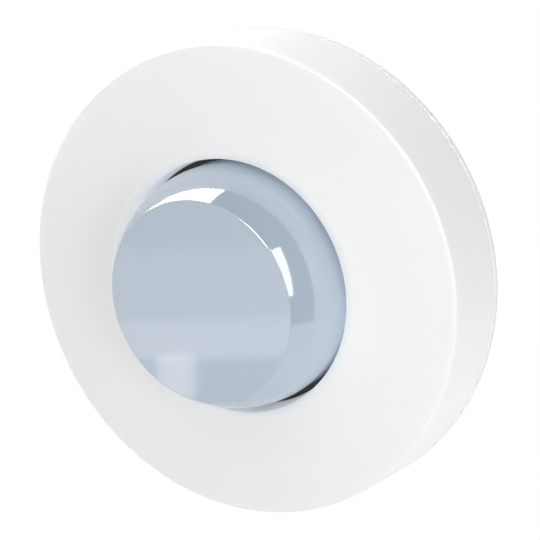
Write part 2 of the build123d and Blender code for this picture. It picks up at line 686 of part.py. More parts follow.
def mode_slider():
    """Slider at the left end of its travel, with a ribbed knob."""
    channel_floor = BOARD_TOP + MODE_BODY_HEIGHT - MODE_CHANNEL_DEPTH
    knob_top = HOUSING_TOP + CONTROL_PROUD
    width = MODE_CHANNEL_WIDTH - 2 * CONTROL_FIT
    shoe = block(MODE_SHOE_LENGTH, width, channel_floor + MOVING_GAP, PLATE_BACK - MOVING_GAP)
    knob = block(MODE_KNOB_LENGTH, width, channel_floor + MOVING_GAP, knob_top)
    notch = block(MODE_KNOB_LENGTH / 5, width, knob_top - CONTROL_PROUD, knob_top)
    for side in (-1, 1):
        knob -= Pos(side * MODE_KNOB_LENGTH / 5, 0, 0) * notch
    return upright_station(MODE_ANGLE) * Pos(-MODE_TRAVEL / 2, 0, 0) * (shoe + knob)


def terminal_pole(side):
    """One pole of the bus terminal, through the board, with wire holes from the back."""
    back = BOARD_BACK - POLE_DROP
    top = BOARD_TOP + POLE_RISE
    width = POLE_WIDTH - POLE_GAP
    lower = Pos(-POLE_INSET / 2, 0, 0) * block(
        width - POLE_INSET, POLE_LENGTH - 2 * POLE_INSET, back, BOARD_TOP
    )
    upper = block(width, POLE_LENGTH, BOARD_TOP, top)
    hole = cylinder(WIRE_HOLE_RADIUS, back, back + WIRE_HOLE_DEPTH)
    mouth = Pos(0, 0, back + WIRE_MOUTH_DEPTH / 2) * Cone(WIRE_MOUTH_RADIUS, WIRE_HOLE_RADIUS, WIRE_MOUTH_DEPTH)
    pole = lower + upper
    for x, y in ((-1, -1), (-1, 1), (1, -1), (1, 1)):
        place = Pos(x * WIRE_PITCH_X / 2 - POLE_INSET / 2, y * WIRE_PITCH_Y / 2, 0)
        pole -= place * (hole + mouth)
    turn = Rot(0, 0, 0) if side > 0 else Rot(0, 0, 180)
    return Pos(side * POLE_WIDTH / 2, POLE_Y, 0) * turn * pole


def chip(size, leads, sides):
    """Flat package with a row of leads on each given side, hanging under the board."""
    back = BOARD_BACK - CHIP_HEIGHT
    body = block(size, size, back, BOARD_BACK - LEAD_THICKNESS)
    foot = block(LEAD_REACH, LEAD_WIDTH, BOARD_BACK - LEAD_THICKNESS, BOARD_BACK)
    leg = block(LEAD_THICKNESS, LEAD_WIDTH, BOARD_BACK - CHIP_HEIGHT / 2, BOARD_BACK)
    lead = Pos(LEAD_REACH / 2, 0, 0) * foot + leg
    pitch = (size - 2 * LEAD_WIDTH) / leads
    for angle in sides:
        for index in range(leads):
            along = (index - (leads - 1) / 2) * pitch
            body += Rot(0, 0, angle) * Pos(size / 2, along, 0) * lead
    return body


def controller_chip():
    return Pos(0, CHIP_Y, 0) * chip(CHIP_SIZE, CHIP_LEAD_COUNT, (0, 90, 180, 270))


def bus_chip():
    return Pos(BUS_CHIP_X, BUS_CHIP_Y, 0) * chip(BUS_CHIP_SIZE, BUS_CHIP_LEAD_COUNT, (0, 180))


def crystal():
    """Oval metal can under the board."""
    can = extrude(SlotOverall(CRYSTAL_LENGTH, CRYSTAL_WIDTH), CRYSTAL_HEIGHT)
    return Pos(CRYSTAL_X, CRYSTAL_Y, BOARD_BACK - CRYSTAL_HEIGHT) * can


def capacitors():
    """Round cans on square feet, along the right side inside the lens."""
    foot = block(2 * CAPACITOR_RADIUS, 2 * CAPACITOR_RADIUS, BOARD_TOP, BOARD_TOP + CAPACITOR_BASE)
    can = cylinder(CAPACITOR_RADIUS, BOARD_TOP, BOARD_TOP + CAPACITOR_HEIGHT)
    can = chamfer(edges_at(can, CAPACITOR_RADIUS, BOARD_TOP + CAPACITOR_HEIGHT), CAPACITOR_CHAMFER)
    reach = PART_RADIUS - CAPACITOR_RADIUS * math.sqrt(2)
    return Compound([station(angle, reach) * (can + foot) for angle in CAPACITOR_ANGLES])


def coil():
    """Square shielded coil with a shallow round dish in its top."""
    top = BOARD_TOP + COIL_HEIGHT
    body = block(COIL_SIZE, COIL_SIZE, BOARD_TOP, top) - cylinder(COIL_SIZE / 3, top - COIL_DISH, top)
    return Pos(0, math.sqrt(PART_RADIUS**2 - (COIL_SIZE / 2) ** 2) - COIL_SIZE / 2, 0) * body


def build():
    """Every node of the detector by name."""
    nodes = {
        "base_plate": base_plate(),
        "circuit_board": circuit_board(),
        "board_screws": board_screws(),
        "inner_housing": inner_housing(),
        "cover_ring": cover_ring(),
        "lens": lens(),
        "lens_seat": lens_seat(),
        "lens_seal": lens_seal(),
        "sensor_carrier": sensor_carrier(),
        "sensor_windows": sensor_windows(),
        "light_guide": light_guide(),
        "status_lamp": status_lamp(),
        "light_sensor": light_sensor(),
        "button_switch": button_switch(),
        "programming_button": programming_button(),
        "mode_switch": mode_switch(),
        "mode_slider": mode_slider(),
        "terminal_negative": terminal_pole(-1),
        "terminal_positive": terminal_pole(1),
        "controller_chip": controller_chip(),
        "bus_chip": bus_chip(),
        "crystal": crystal(),
        "capacitors": capacitors(),
        "coil": coil(),
    }
    for name, angle in DIAL_ANGLES.items():
        nodes[f"{name}_trimmer"] = trimmer(angle)
        nodes[f"{name}_dial"] = dial(angle)
    for index in range(4):
        nodes[f"heat_sensor_{index + 1}"] = sensor_place(index) * heat_sensor()
    return nodes


os.makedirs("parts", exist_ok=True)
for node, shape in build().items():
    export_step(Rot(90, 0, 0) * shape, f"parts/{node}.step")
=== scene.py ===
import math
import bmesh
import bpy
from mathutils import Matrix, Vector


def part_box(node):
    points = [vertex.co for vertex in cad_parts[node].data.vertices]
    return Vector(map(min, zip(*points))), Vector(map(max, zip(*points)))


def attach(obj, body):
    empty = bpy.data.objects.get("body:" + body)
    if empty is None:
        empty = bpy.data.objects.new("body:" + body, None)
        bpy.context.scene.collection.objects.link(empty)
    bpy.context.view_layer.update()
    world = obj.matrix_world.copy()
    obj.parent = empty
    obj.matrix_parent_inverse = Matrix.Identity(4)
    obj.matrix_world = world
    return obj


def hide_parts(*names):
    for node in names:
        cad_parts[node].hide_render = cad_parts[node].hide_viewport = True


bl_info = {
    "name": "Presence Detector",
    "version": (1, 0, 0),
    "blender": (4, 5, 0),
    "location": "View3D > Sidebar > Detector",
    "description": "Dresses a round presence detector with a flat-fronted dome lens",
    "category": "Add Mesh",
}

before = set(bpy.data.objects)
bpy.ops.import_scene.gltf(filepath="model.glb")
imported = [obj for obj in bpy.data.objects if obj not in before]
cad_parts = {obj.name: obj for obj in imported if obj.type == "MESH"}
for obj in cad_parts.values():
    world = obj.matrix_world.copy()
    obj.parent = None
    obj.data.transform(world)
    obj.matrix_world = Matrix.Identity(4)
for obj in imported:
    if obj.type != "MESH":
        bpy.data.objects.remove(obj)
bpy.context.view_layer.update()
COVER_LOW, COVER_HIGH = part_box("cover_ring")
LENS_LOW, LENS_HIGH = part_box("lens")

# The camera's place and turn, worked out from the circles in the photograph
CAMERA_PLACE = (0.10258, -0.18421, 0.06084)
CAMERA_AZIMUTH = math.radians(28.74)
CAMERA_ELEVATION = math.radians(16.06)
CAMERA_LENS = 67.6

# Fill light of the white world, and the floor's depth and half width in metres
WHITE = (1.0, 1.0, 1.0, 1.0)
WORLD_STRENGTH = 0.28
FLOOR_DEPTH = 0.35
FLOOR_HALF = 2.0

# Felt flag that the lens mirrors, curved round the y axis to the right and above, in metres and radians
FLAG_RADIUS = 0.9
FLAG_ENDS = (-0.4, 0.26)
FLAG_START = -0.6
FLAG_SWEEP = 2.65
FLAG_STEPS = 24

# Soft lamps that gloss doesn't show: name, direction, distance, side, power, casts shadow
SOFT_LAMPS = (
    ("side_lamp", (0.86, -0.5, 0.09), 0.35, 0.2, 0.5, False),
    ("low_lamp", (0.58, -0.64, -0.5), 0.5, 0.3, 0.53, False),
    ("top_lamp", (-0.15, -0.6, 0.78), 0.5, 0.3, 0.76, False),
    ("left_lamp", (-0.86, -0.5, 0.09), 1.2, 0.4, 3.4, False),
    ("upper_rim_lamp", (-0.4, 0.45, 0.8), 0.8, 0.4, 2.4, True),
    ("lower_rim_lamp", (0.5, 0.35, -0.8), 0.8, 0.4, 0.05, True),
    ("upper_collar_lamp", (-0.35, -0.1, 0.93), 0.8, 0.3, 1.05, False),
    ("lower_collar_lamp", (0.6, -0.1, -0.78), 0.8, 0.3, 0.45, False),
)

# Softboxes and cards that only gloss shows: name, direction, distance, width, height, power
GLOSS_LAMPS = (
    ("left_softbox", (-0.41, 0.079, 0.434), 0.6, 0.36, 0.58, 10.5),
    ("right_softbox", (0.9, -0.264, 0.37), 0.6, 0.13, 0.44, 1.05),
    ("edge_softbox", (0.14, -0.86, 0.49), 0.6, 0.24, 0.19, 3.8),
    ("front_card", (-0.2995, -0.491, -0.1785), 0.6, 0.2, 0.085, 0.02),
    ("lower_card", (-0.2938, -0.4826, -0.2045), 0.595, 0.2, 0.03, 0.011),
    ("patch_card", (-0.3045, -0.463, -0.2306), 0.59, 0.028, 0.034, 0.005),
)

# Light enters pale ABS and leaves it about 1.5 mm away
ABS_GLOW = {"Subsurface_Weight": 0.6, "Subsurface_Scale": 0.0015, "Subsurface_Radius": (1.0, 1.0, 1.0)}

# Matched to how strongly the lens in the photograph mirrors; plain polyethylene has about 1.54
LENS_INDEX = 1.9

# Numbers of ribs, facets and grooves, and places of the pegs
RIB_COUNT = 12
PEG_ANGLES = (45, 135, 225, 315)
LENS_FACETS = 16
GROOVE_COUNT = 6

# Steps of turned and rounded outlines, angle of a sharp edge, distance of merged corners and
# difference of heights that count as level
TURN_STEPS = 256
GROOVE_STEPS = 64
PEG_STEPS = 48
PRONG_STEPS = 10
BALL_STEPS = 32
LIP_STEPS = 6
FILLET_STEPS = 8
SOFTENING_STEPS = 3
SHARP_ANGLE = math.radians(32)
MERGE_DISTANCE = 1e-7
LEVEL_DIFFERENCE = 1e-6

# Marks of the mould's ejector pins: radius as a share of their spacing, and depth in metres
EJECTOR_SHARE = 0.1
EJECTOR_DEPTH = 0.00006

# Printed scale round a dial: its ring in metres, its steps in a full turn, half a stroke as a share
# of a step, the angle that it runs to each side, and how deep below the front print still takes
SCALE_RADIUS = 0.0042
SCALE_HALF_WIDTH = 0.0004
SCALE_STEPS = 16
SCALE_STROKE = 0.07
SCALE_SPAN = math.radians(138)
PRINT_DEPTH = 0.00005

# Circuit board, in metres: copper tracks, tinned pads, whose radius is a share of their spacing,
# and the bare laminate of the edge
TRACK_LENGTH = 0.0065
TRACK_PITCH = 0.0009
TRACK_EDGE = 0.00012
PAD_SPACING = 0.0042
PAD_SHARE = 0.1
BOARD_EDGE = 0.0001

# Half width of each chip's body in metres, and its round mark as shares of that
CHIP_BODIES = {"controller_chip": 0.005, "bus_chip": 0.003}
CHIP_MARK_PLACE = 0.7
CHIP_MARK_RADIUS = 0.1

# Capacitor cans, lamp, light sensor and dials, in metres
CAN_FOOT_HEIGHT = 0.0008
CAN_MARK_WIDTH = 0.0016
CAN_TOP_DEPTH = 0.0001
LAMP_WELL_RADIUS = 0.00095
SENSOR_DOME_RADIUS = 0.00122
DIAL_SLOT_DEPTH = 0.0009
DIAL_SLOT_REACH = 0.0028

# Painted, printed and masked edges blend over this half width
MASK_BLEND = 0.00003


def linear(code):
    """Linear colour of an sRGB hex code such as #F1F1F0."""
    parts = [int(code[i:i + 2], 16) / 255 for i in (1, 3, 5)]
    return tuple(p / 12.92 if p <= 0.04045 else ((p + 0.055) / 1.055) ** 2.4 for p in parts) + (1.0,)


def length(name, description, default):
    """Property that holds a length in metres."""
    return bpy.props.FloatProperty(
        name=name,
        description=description,
        default=default,
        min=0.0,
        precision=5,
        unit="LENGTH",
        subtype="DISTANCE",
    )


def colour(name, description, code):
    """Property that holds a colour, given as an sRGB hex code."""
    return bpy.props.FloatVectorProperty(
        name=name,
        description=description,
        default=linear(code),
        size=4,
        min=0.0,
        max=1.0,
        subtype="COLOR",
    )


class DETECTOR_PG_sizes(bpy.types.PropertyGroup):
    """Sizes of the cover ring and the lens, in metres."""
    front_radius: length("Front radius", "Radius of the cover at its front", 0.0488)
    rim_fillet: length("Rim rounding", "Rounding of the cover's front edge", 0.0007)
    cover_wall: length("Cover wall", "Thickness of the cover's front and outer wall", 0.002)
    opening_radius: length("Opening radius", "Radius of the opening round the lens", 0.0266)
    lip_width: length("Lip width", "Width of the shallow curve round the opening", 0.0023)
    lip_drop: length("Lip drop", "Depth of the shallow curve round the opening", 0.0008)
    lip_fillet: length("Lip rounding", "Rounding between the lip and the collar", 0.0006)
    collar_wall: length("Collar wall", "Thickness of the collar round the lens", 0.0016)
    collar_back: length("Collar back", "Height of the collar's back above the wall", 0.0096)
    cover_inside: length("Cover inside", "Height of the underside of the cover's front", 0.0142)
    edge_softening: length("Edge softening", "Rounding of the moulded back edges", 0.00028)
    rib_wall: length("Rib wall", "Thickness of the ribs under the cover's front", 0.001)
    rib_back: length("Rib back", "Height of the ribs' lower edge", 0.0118)
    peg_circle: length("Peg circle", "Radius on which the cover's pegs stand", 0.0373)
    peg_radius: length("Peg radius", "Radius of a peg", 0.002)
    peg_boss_radius: length("Peg boss radius", "Radius of the boss at a peg's root", 0.0032)
    peg_boss_back: length("Peg boss back", "Height of the boss's lower end", 0.0112)
    peg_tip: length("Peg tip", "Height of a peg's tip", 0.0073)
    peg_slit: length("Peg slit", "Width of the cross slit in a peg", 0.0007)
    peg_slit_depth: length("Peg slit depth", "Depth of the cross slit in a peg", 0.004)
    lens_radius: length("Lens radius", "Radius of the lens's ball", 0.0255)
    lens_centre: length("Lens centre", "Height of the middle of the lens's ball", 0.0114)
    lens_edge: length("Lens edge rounding", "Rounding of the edge of the flat front", 0.0003)
    lens_skirt: length("Lens flange top", "Height of the front of the lens flange", 0.0088)
    lens_wall: length("Lens wall", "Thickness of the lens", 0.0011)
    lens_inside: length("Lens inside", "Height of the inner side of the flat front", 0.0253)
    groove_width: length("Groove width", "Width of one groove inside the lens", 0.0027)
    groove_depth: length("Groove depth", "Depth of one groove inside the lens", 0.0004)


class DETECTOR_PG_colours(bpy.types.PropertyGroup):
    """Colours of the detector's materials."""
    cover: colour("Cover", "Satin white of the cover ring", "#F1F1F0")
    base: colour("Base", "Matt white of the mounting plate", "#F0F0EF")
    housing: colour("Housing", "Light grey of the inner housing", "#DDDEDD")
    lens: colour("Lens", "Milky blue-grey of the lens", "#AEBBCA")
    black_plastic: colour("Black plastic", "Black of seat, carrier and switches", "#1A1B1D")
    # The seal's brown-grey is painted lighter than its rubber, as painted light in the shaded gap round
    # the lens
    rubber: colour("Rubber", "Dark brown-grey of the lens seal", "#4A4541")
    solder_mask: colour("Solder mask", "Green of the circuit board", "#0F4F2E")
    steel: colour("Steel", "Plated steel of screws and cans", "#BDBCB8")
    red: colour("Red", "Red of the programming button and the positive pole", "#B3211D")
    dial: colour("Dial", "Blue of the setting dials", "#2B5A9E")
    grey_plastic: colour("Grey plastic", "Grey of trimmers and the negative pole", "#4A4C50")


def settings():
    """Sizes and colours as they stand in the scene."""
    return bpy.context.scene.detector_sizes, bpy.context.scene.detector_colours


def add_node(tree, kind, inputs=None, **values):
    """Adds a node, sets its values and sets or joins its inputs."""
    node = tree.nodes.new(kind)
    for name, value in values.items():
        setattr(node, name, value)
    for name, value in (inputs or {}).items():
        if isinstance(value, bpy.types.NodeSocket):
            tree.links.new(value, node.inputs[name])
        else:
            node.inputs[name].default_value = value
    return node


def new_material(name, **values):
    """Material with one shader, whose sockets take the given values."""
    material = bpy.data.materials.new(name)
    material.use_nodes = True
    tree = material.node_tree
    tree.nodes.clear()
    sockets = {socket.replace("_", " "): value for socket, value in values.items()}
    shader = add_node(tree, "ShaderNodeBsdfPrincipled", sockets)
    add_node(tree, "ShaderNodeOutputMaterial", {"Surface": shader.outputs[0]})
    place = add_node(tree, "ShaderNodeTexCoord").outputs["Object"]
    return material, tree, shader, place


def shaded(base, share):
    """The colour with its red, green and blue at a share of their strength."""
    return tuple(part * share for part in base[:3]) + (1.0,)


def surface(tree, shader, base, tone, cloud, gloss, rough, relief, strength, rounding):
    """Joins colour, gloss and relief patterns to the shader, with edges rounded to the eye."""
    colours = {0: cloud, 6: base, 7: shaded(base, tone)}
    tint = add_node(tree, "ShaderNodeMix", colours, data_type="RGBA")
    sheen = {"Value": gloss, "To Min": rough[0], "To Max": rough[1]}
    sheen = add_node(tree, "ShaderNodeMapRange", sheen)
    bump = {"Height": relief, "Strength": strength[0], "Distance": strength[1]}
    bump = add_node(tree, "ShaderNodeBump", bump)
    if rounding:
        edges = add_node(tree, "ShaderNodeBevel", {"Radius": rounding}, samples=4)
        tree.links.new(edges.outputs[0], bump.inputs["Normal"])
    tree.links.new(tint.outputs[2], shader.inputs["Base Color"])
    tree.links.new(sheen.outputs[0], shader.inputs["Roughness"])
    tree.links.new(bump.outputs[0], shader.inputs["Normal"])


def textured_plastic(name, base, roughness, grain, relief, tone=0.985, rounding=0.00015, **values):
    """Plastic from a spark-eroded mould: a fine grain of tiny pits and a faint change of gloss."""
    material, tree, shader, place = new_material(name, IOR=1.5, **values)
    # Real pits are about 0.08 mm wide, too fine to show, so the grain is drawn 0.3 to 0.6 mm wide
    pits = {"Vector": place, "Scale": 1 / grain, "Detail": 2.0, "Roughness": 0.6}
    pits = add_node(tree, "ShaderNodeTexNoise", pits).outputs["Fac"]
    # The melt flows in clouds about 17 mm wide
    flow = {"Vector": place, "Scale": 60.0, "Detail": 3.0}
    flow = add_node(tree, "ShaderNodeTexNoise", flow).outputs["Fac"]
    rough = (roughness - 0.05, roughness + 0.05)
    surface(tree, shader, base, tone, flow, pits, rough, pits, (0.6, relief), rounding)
    return material


def polished_plastic(name, base, roughness, waviness, relief, tone=0.97, rounding=0.00015, **values):
    """Plastic from a polished mould: a clear gloss that slow shrinkage waves bend slightly."""
    material, tree, shader, place = new_material(name, **values)
    waves = {"Vector": place, "Scale": 1 / waviness, "Detail": 1.0}
    waves = add_node(tree, "ShaderNodeTexNoise", waves).outputs["Fac"]
    # Colour and gloss change in clouds about 11 mm wide
    clouds = {"Vector": place, "Scale": 90.0, "Detail": 2.0}
    clouds = add_node(tree, "ShaderNodeTexNoise", clouds).outputs["Fac"]
    rough = (roughness * 0.8, roughness * 1.2)
    surface(tree, shader, base, tone, clouds, clouds, rough, waves, (0.5, relief), rounding)
    return material


def plated_metal(name, base, roughness, line, stretch=(1, 1, 1)):
    """Plated or drawn metal: fine drawn lines, and spots where the plating is duller."""
    material, tree, shader, place = new_material(name, Metallic=1.0)
    # Real drawn lines are about 0.02 mm apart, too fine to show, so they are drawn 0.4 mm apart or more
    drawn = add_node(tree, "ShaderNodeMapping", {"Vector": place, "Scale": stretch}).outputs[0]
    lines = {"Vector": drawn, "Scale": 1 / line, "Detail": 3.0, "Roughness": 0.7}
    lines = add_node(tree, "ShaderNodeTexNoise", lines).outputs["Fac"]
    # Duller spots are about 1 mm apart
    spots = {"Vector": place, "Scale": 900.0}
    spots = add_node(tree, "ShaderNodeTexVoronoi", spots).outputs["Distance"]
    rough = (roughness, roughness + 0.15)
    surface(tree, shader, base, 0.8, lines, spots, rough, lines, (0.4, 0.00001), 0.0001)
    return material


def insides(material):
    """Node tree, shader and Object coordinates of a material made above."""
    tree = material.node_tree
    shader = next(n for n in tree.nodes if n.bl_idname == "ShaderNodeBsdfPrincipled")
    place = next(n for n in tree.nodes if n.bl_idname == "ShaderNodeTexCoord").outputs["Object"]
    return tree, shader, place


def past(tree, value, edge, blend=MASK_BLEND):
    """Mask that is one where the value is past the edge and nought before it."""
    limits = {"Value": value, "From Min": edge - blend, "From Max": edge + blend}
    return add_node(tree, "ShaderNodeMapRange", limits).outputs[0]


def away(tree, place, x, z):
    """Distance from an axis square to the board, and how far out of a square round it."""
    moved = {0: place, 1: (x, 0, z)}
    moved = add_node(tree, "ShaderNodeVectorMath", moved, operation="SUBTRACT").outputs[0]
    level = {0: moved, 1: (1, 0, 1)}
    level = add_node(tree, "ShaderNodeVectorMath", level, operation="MULTIPLY").outputs[0]
    radius = add_node(tree, "ShaderNodeVectorMath", {0: level}, operation="LENGTH")
    sides = add_node(tree, "ShaderNodeVectorMath", {0: level}, operation="ABSOLUTE").outputs[0]
    sides = add_node(tree, "ShaderNodeSeparateXYZ", {0: sides}).outputs
    square = add_node(tree, "ShaderNodeMath", {0: sides["X"], 1: sides["Z"]}, operation="MAXIMUM")
    return radius.outputs["Value"], square.outputs[0]


def overlay(tree, shader, mask, **values):
    """Gives the shader other values where the mask is one."""
    for name, value in values.items():
        socket = shader.inputs[name.replace("_", " ")]
        coloured = socket.type == "RGBA"
        if socket.is_linked:
            before = socket.links[0].from_socket
        else:
            before = tuple(socket.default_value) if coloured else socket.default_value
        first, second, out = (6, 7, 2) if coloured else (2, 3, 0)
        kind = "RGBA" if coloured else "FLOAT"
        mixed = {0: mask, first: before, second: value}
        mixed = add_node(tree, "ShaderNodeMix", mixed, data_type=kind)
        tree.links.new(mixed.outputs[out], socket)


def finish_node(node, material):
    """Gives a CAD node its material."""
    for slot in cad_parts[node].material_slots:
        slot.material = material


def round_corners(bm, corners, segments):
    """Rounds corners of an outline, each by its own distance along the edges."""
    for corner, distance in corners:
        bmesh.ops.bevel(
            bm,
            geom=[corner],
            offset=distance,
            offset_type="OFFSET",
            segments=segments,
            profile=0.5,
            affect="VERTICES",
            material=-1,
        )


def outline(bm, points):
    """Vertices of an open outline from (radius, height) points, joined in order."""
    corners = [bm.verts.new((radius, -height, 0)) for radius, height in points]
    for a, b in zip(corners, corners[1:]):
        bm.edges.new((a, b))
    return corners


def arc(bm, start, centre_radius, centre_height, angle, steps):
    """Sweeps a vertex about a centre in the outline's plane and gives back its last place."""
    swept = bmesh.ops.spin(
        bm,
        geom=[start],
        cent=(centre_radius, -centre_height, 0),
        axis=(0, 0, 1),
        angle=angle,
        steps=steps,
    )
    return swept["geom_last"][0]


def turn(bm, steps):
    """Turns the outline once round the y axis."""
    bmesh.ops.spin(
        bm,
        geom=bm.verts[:] + bm.edges[:],
        cent=(0, 0, 0),
        axis=(0, 1, 0),
        angle=math.tau,
        steps=steps,
        use_merge=True,
    )


def piece(name, bm, material, body, node):
    """Closes the mesh, shades it and hands it to the frame."""
    bmesh.ops.remove_doubles(bm, verts=bm.verts[:], dist=MERGE_DISTANCE)
    bmesh.ops.recalc_face_normals(bm, faces=bm.faces[:])
    mesh = bpy.data.meshes.new(name)
    bm.to_mesh(mesh)
    bm.free()
    mesh.shade_smooth()
    mesh.set_sharp_from_angle(angle=SHARP_ANGLE)
    mesh.materials.append(material)
    obj = bpy.data.objects.new(name, mesh)
    bpy.context.scene.collection.objects.link(obj)
    weighted = obj.modifiers.new("Flat faces stay flat", "WEIGHTED_NORMAL")
    weighted.keep_sharp = True
    weighted.weight = 100
    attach(obj, body)
    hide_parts(node)
    return obj


def join_in(bm, part):
    """Adds a part's mesh to another and frees the part."""
    mesh = bpy.data.meshes.new("part")
    part.to_mesh(mesh)
    part.free()
    bm.from_mesh(mesh)
    bpy.data.meshes.remove(mesh)


def add_lamp(name, towards, reach, width, height, power):
    """Rectangular lamp in a direction from the detector, turned to it."""
    lamp = bpy.data.lights.new(name, "AREA")
    lamp.shape = "RECTANGLE"
    lamp.size = width
    lamp.size_y = height
    lamp.energy = power
    obj = bpy.data.objects.new(name, lamp)
    bpy.context.scene.collection.objects.link(obj)
    obj.location = Vector(towards).normalized() * reach
    obj.rotation_euler = obj.location.to_track_quat("Z", "Y").to_euler()
    obj.visible_camera = False
    return obj


def white_to_camera(tree, lit, glow, output):
    """Shows plain white to camera, glossy and transmission rays, and the lit shader to the rest."""
    path = add_node(tree, "ShaderNodeLightPath").outputs
    seen = path["Is Camera Ray"]
    for ray in ("Is Glossy Ray", "Is Transmission Ray"):
        seen = {0: seen, 1: path[ray]}
        seen = add_node(tree, "ShaderNodeMath", seen, operation="MAXIMUM").outputs[0]
    white = add_node(tree, glow, {"Color": WHITE, "Strength": 1.0})
    mixed = {0: seen, 1: lit.outputs[0], 2: white.outputs[0]}
    mixed = add_node(tree, "ShaderNodeMixShader", mixed)
    add_node(tree, output, {"Surface": mixed.outputs[0]})


class DETECTOR_OT_stage(bpy.types.Operator):
    """Camera, plain pale floor and soft studio light"""
    bl_idname = "detector.stage"
    bl_label = "Stage"

    def add_camera(self, scene):
        """Camera at the photograph's place and turn."""
        camera = bpy.data.objects.new("Camera", bpy.data.cameras.new("Camera"))
        scene.collection.objects.link(camera)
        camera.data.lens = CAMERA_LENS
        camera.data.sensor_width = 36.0
        camera.data.clip_start = 0.005
        turn_side = Matrix.Rotation(CAMERA_AZIMUTH, 3, "Z")
        tilt = Matrix.Rotation(math.pi / 2 - CAMERA_ELEVATION, 3, "X")
        camera.matrix_world = Matrix.Translation(CAMERA_PLACE) @ (turn_side @ tilt).to_4x4()
        scene.camera = camera

    def add_world(self, scene):
        """World that fills the shadows softly and is white to the eye."""
        world = bpy.data.worlds.new("Studio")
        scene.world = world
        world.use_nodes = True
        tree = world.node_tree
        tree.nodes.clear()
        fill = add_node(tree, "ShaderNodeBackground", {"Color": WHITE, "Strength": WORLD_STRENGTH})
        white_to_camera(tree, fill, "ShaderNodeBackground", "ShaderNodeOutputWorld")

    def add_floor(self, scene):
        """Wide pale floor below the detector."""
        bm = bmesh.new()
        below = Matrix.Translation((0, 0, -FLOOR_DEPTH))
        bmesh.ops.create_grid(bm, x_segments=1, y_segments=1, size=FLOOR_HALF, matrix=below)
        mesh = bpy.data.meshes.new("floor")
        bm.to_mesh(mesh)
        bm.free()
        floor = bpy.data.objects.new("floor", mesh)
        scene.collection.objects.link(floor)
        paint = bpy.data.materials.new("pale_studio_floor")
        paint.use_nodes = True
        tree = paint.node_tree
        tree.nodes.clear()
        matt = add_node(tree, "ShaderNodeBsdfDiffuse", {"Color": linear("#E6E6E6")})
        white_to_camera(tree, matt, "ShaderNodeEmission", "ShaderNodeOutputMaterial")
        mesh.materials.append(paint)

    def add_flag(self, scene):
        """Curved felt flag above and to the right, which only reflections see."""
        bm = bmesh.new()
        x, z = FLAG_RADIUS * math.cos(FLAG_START), FLAG_RADIUS * math.sin(FLAG_START)
        start = [bm.verts.new((x, y, z)) for y in FLAG_ENDS]
        side = bm.edges.new(start)
        bmesh.ops.spin(
            bm,
            geom=[*start, side],
            cent=(0, 0, 0),
            axis=(0, 1, 0),
            angle=-FLAG_SWEEP,
            steps=FLAG_STEPS,
        )
        mesh = bpy.data.meshes.new("black_flag")
        bm.to_mesh(mesh)
        bm.free()
        felt, *_ = new_material("black_felt", Base_Color=linear("#2A2A2A"), Roughness=1.0)
        mesh.materials.append(felt)
        flag = bpy.data.objects.new("black_flag", mesh)
        scene.collection.objects.link(flag)
        flag.visible_camera = False
        flag.visible_diffuse = False
        flag.visible_shadow = False

    def execute(self, context):
        scene = context.scene
        self.add_camera(scene)
        self.add_world(scene)
        self.add_floor(scene)
        for name, towards, reach, side, power, shadow in SOFT_LAMPS:
            obj = add_lamp(name, towards, reach, side, side, power)
            obj.data.use_shadow = shadow
            obj.visible_glossy = False
        for name, towards, reach, width, height, power in GLOSS_LAMPS:
            obj = add_lamp(name, towards, reach, width, height, power)
            obj.visible_diffuse = False
        self.add_flag(scene)
        scene.view_settings.view_transform = "Standard"
        return {"FINISHED"}


